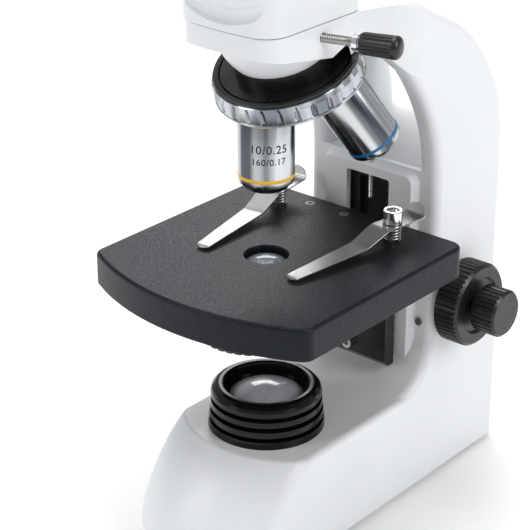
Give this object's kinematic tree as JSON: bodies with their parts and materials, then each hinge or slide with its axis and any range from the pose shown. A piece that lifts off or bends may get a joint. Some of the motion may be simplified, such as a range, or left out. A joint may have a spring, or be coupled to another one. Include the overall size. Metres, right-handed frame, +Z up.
{
  "type": "compound microscope",
  "caption": "Monocular student microscope: cast base and arm with a carrying opening, focusing stage with spring clips, turning nosepiece with three objectives, inclined eyepiece head.",
  "frame": {"origin": "on the desk plane, below the optical axis of lamp, stage hole and objective", "axes": "+Z up along the optical axis, +Y from the observer towards the arm, +X to the observer's right"},
  "size_m": [0.132, 0.2155, 0.3472],
  "materials": {
    "white_paint": "satin",
    "black_steel": "satin",
    "black_gloss": "gloss",
    "black_plastic": "matte",
    "stage_finish": "textured matte",
    "rubber": "matte",
    "steel": "brushed",
    "chrome": "polished",
    "aluminium": "satin",
    "brass": "polished",
    "yellow": "gloss",
    "blue": "gloss",
    "red": "gloss",
    "frosted": "frosted",
    "led_board": "matte",
    "glass": "clear"
  },
  "bodies": {
    "root": {"stand": "white_paint", "base_plate": "black_steel", "base_plate_screws": "steel", "rubber_feet": "rubber", "lamp_housing": "black_gloss", "lamp_lens": "frosted", "lamp_led": "led_board", "power_jack": "black_plastic", "switch_bezel": "black_plastic", "slide_guide": "black_steel", "guide_screws": "steel", "stop_screw": "steel", "shaft_bushes": "brass", "nosepiece_base": "black_steel", "turret_screw": "steel"},
    "switch": {"switch_rocker": "black_gloss"},
    "dimmer": {"dimmer_wheel": "black_plastic"},
    "lock": {"lock_screw": "steel", "lock_knob": "black_plastic"},
    "stage": {"stage_slide": "aluminium", "rack": "steel", "stage_bracket": "black_steel", "bracket_screws": "steel", "stage_plate": "stage_finish", "stage_screws": "steel", "condenser_mount": "black_steel", "condenser_lens": "glass", "diaphragm_pivot": "steel", "clip_studs": "steel", "clip_spring_left": "steel", "clip_spring_right": "steel"},
    "diaphragm": {"diaphragm_disc": "black_steel"},
    "clip_l": {"clip_left": "steel"},
    "clip_r": {"clip_right": "steel"},
    "coarse": {"coarse_shaft": "steel", "pinion": "steel", "coarse_knob_left": "black_plastic", "coarse_knob_right": "black_plastic"},
    "fine": {"fine_shaft": "steel", "fine_knob_left": "black_plastic", "fine_knob_right": "black_plastic"},
    "nosepiece": {"turret": "black_steel", "knurl_ring": "aluminium", "objective_10": "chrome", "objective_10_ring": "yellow", "objective_10_nose": "black_steel", "objective_40": "chrome", "objective_40_ring": "blue", "objective_40_nose": "black_steel", "objective_4": "chrome", "objective_4_ring": "red", "objective_4_nose": "black_steel", "objective_bands": "brass", "objective_lenses": "glass"},
    "head": {"head_housing": "white_paint", "prism": "glass", "eyepiece_tube": "black_steel"},
    "eyepiece": {"eyepiece_body": "black_plastic", "eyecup": "rubber", "eyepiece_lenses": "glass"}
  },
  "joints": [
    {"name": "coarse_focus", "type": "hinge", "parent": "root", "child": "coarse", "pos_m": [0, 0.0882, 0.0918], "axis": [-1, 0, 0], "range_deg": [-9.6, 205.4]},
    {"name": "stage_travel", "type": "slide", "parent": "root", "child": "stage", "axis": [0, 0, 1], "range_m": [-0.001, 0.0215]},
    {"name": "fine_focus", "type": "hinge", "parent": "coarse", "child": "fine", "pos_m": [0, 0.0882, 0.0918], "axis": [-1, 0, 0], "continuous": true},
    {"name": "nosepiece_turn", "type": "hinge", "parent": "root", "child": "nosepiece", "pos_m": [0, 0, 0.2475], "axis": [0, -0.3486, 0.9373], "continuous": true},
    {"name": "head_turn", "type": "hinge", "parent": "root", "child": "head", "pos_m": [0, 0, 0.2383], "axis": [0, 0, 1], "continuous": true},
    {"name": "eyepiece_pull", "type": "slide", "parent": "head", "child": "eyepiece", "axis": [0, -0.7071, 0.7071], "range_m": [0, 0.034]},
    {"name": "head_lock", "type": "hinge", "parent": "root", "child": "lock", "pos_m": [0, -0.0016, 0.2328], "axis": [0.9636, 0.2672, 0], "range_deg": [0, 360]},
    {"name": "clip_left_swing", "type": "hinge", "parent": "stage", "child": "clip_l", "pos_m": [-0.032, 0.0465, 0.1328], "axis": [0, 0, 1], "range_deg": [-35, 14]},
    {"name": "clip_right_swing", "type": "hinge", "parent": "stage", "child": "clip_r", "pos_m": [0.032, 0.0465, 0.1328], "axis": [0, 0, 1], "range_deg": [-14, 35]},
    {"name": "diaphragm_turn", "type": "hinge", "parent": "stage", "child": "diaphragm", "pos_m": [0.009, -0.017, 0.1087], "axis": [0, 0, 1], "continuous": true},
    {"name": "switch_rock", "type": "hinge", "parent": "root", "child": "switch", "pos_m": [-0.014, 0.129, 0.016], "axis": [0, 0, 1], "range_deg": [-16, 0]},
    {"name": "dimmer_turn", "type": "hinge", "parent": "root", "child": "dimmer", "pos_m": [0, 0.034, 0.027], "axis": [-1, 0, 0], "range_deg": [0, 270]}
  ],
  "couplings": [
    {"joint": "coarse_focus", "follows": "stage_travel", "rad_per_m": 166.67}
  ]
}
